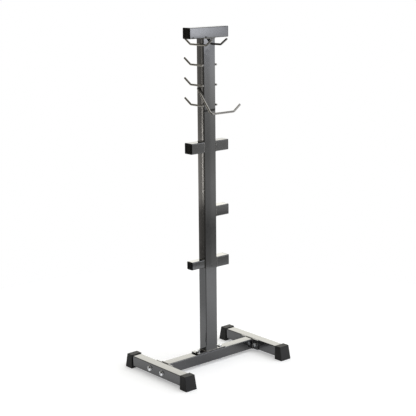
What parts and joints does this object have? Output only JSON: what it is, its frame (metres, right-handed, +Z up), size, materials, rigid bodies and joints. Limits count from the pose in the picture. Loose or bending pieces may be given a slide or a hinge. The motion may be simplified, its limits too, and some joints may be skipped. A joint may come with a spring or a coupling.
{
  "type": "cable attachment rack",
  "caption": "Free-standing gym rack: square-tube upright on an H-shaped base, with bent rod hooks near the top and short square arms below, for hanging cable attachments and bars.",
  "frame": {"origin": "on the floor, under the middle of the upright", "axes": "+Z up along the upright; +X along the centre beam and the top bar, towards the side with the most arms; +Y along the feet, towards the side where the hooks turn up behind the upright"},
  "size_m": [0.6648, 0.4546, 1.6002],
  "materials": {
    "frame_paint": "semi-gloss dark grey metallic powder coat",
    "rod_paint": "gloss dark grey metallic paint on round rod",
    "plug_plastic": "satin black moulded plastic",
    "boot_rubber": "matte black moulded rubber",
    "bolt_zinc": "bright zinc plate"
  },
  "bodies": {
    "root": {"left_foot": "frame_paint", "right_foot": "frame_paint", "centre_beam": "frame_paint", "left_end_plate": "frame_paint", "right_end_plate": "frame_paint", "mast_plate": "frame_paint", "mast": "frame_paint", "top_bar": "frame_paint", "upper_left_arm": "frame_paint", "upper_right_arm": "frame_paint", "middle_right_arm": "frame_paint", "lower_left_arm": "frame_paint", "lower_right_arm": "frame_paint", "top_left_hook": "rod_paint", "top_right_hook": "rod_paint", "side_left_hook_1": "rod_paint", "side_left_hook_2": "rod_paint", "side_left_hook_3": "rod_paint", "side_right_hook_1": "rod_paint", "side_right_hook_2": "rod_paint", "side_right_hook_3": "rod_paint", "front_hook": "rod_paint", "top_bar_left_plug": "plug_plastic", "top_bar_right_plug": "plug_plastic", "upper_left_arm_plug": "plug_plastic", "upper_right_arm_plug": "plug_plastic", "middle_right_arm_plug": "plug_plastic", "lower_left_arm_plug": "plug_plastic", "lower_right_arm_plug": "plug_plastic", "left_front_boot": "boot_rubber", "left_rear_boot": "boot_rubber", "right_front_boot": "boot_rubber", "right_rear_boot": "boot_rubber", "left_front_foot_bolt": "bolt_zinc", "left_front_foot_washer": "bolt_zinc", "left_front_foot_nut": "bolt_zinc", "left_rear_foot_bolt": "bolt_zinc", "left_rear_foot_washer": "bolt_zinc", "left_rear_foot_nut": "bolt_zinc", "right_front_foot_bolt": "bolt_zinc", "right_front_foot_washer": "bolt_zinc", "right_front_foot_nut": "bolt_zinc", "right_rear_foot_bolt": "bolt_zinc", "right_rear_foot_washer": "bolt_zinc", "right_rear_foot_nut": "bolt_zinc", "mast_left_bolt": "bolt_zinc", "mast_left_washer": "bolt_zinc", "mast_left_nut": "bolt_zinc", "mast_right_bolt": "bolt_zinc", "mast_right_washer": "bolt_zinc", "mast_right_nut": "bolt_zinc"}
  },
  "joints": []
}
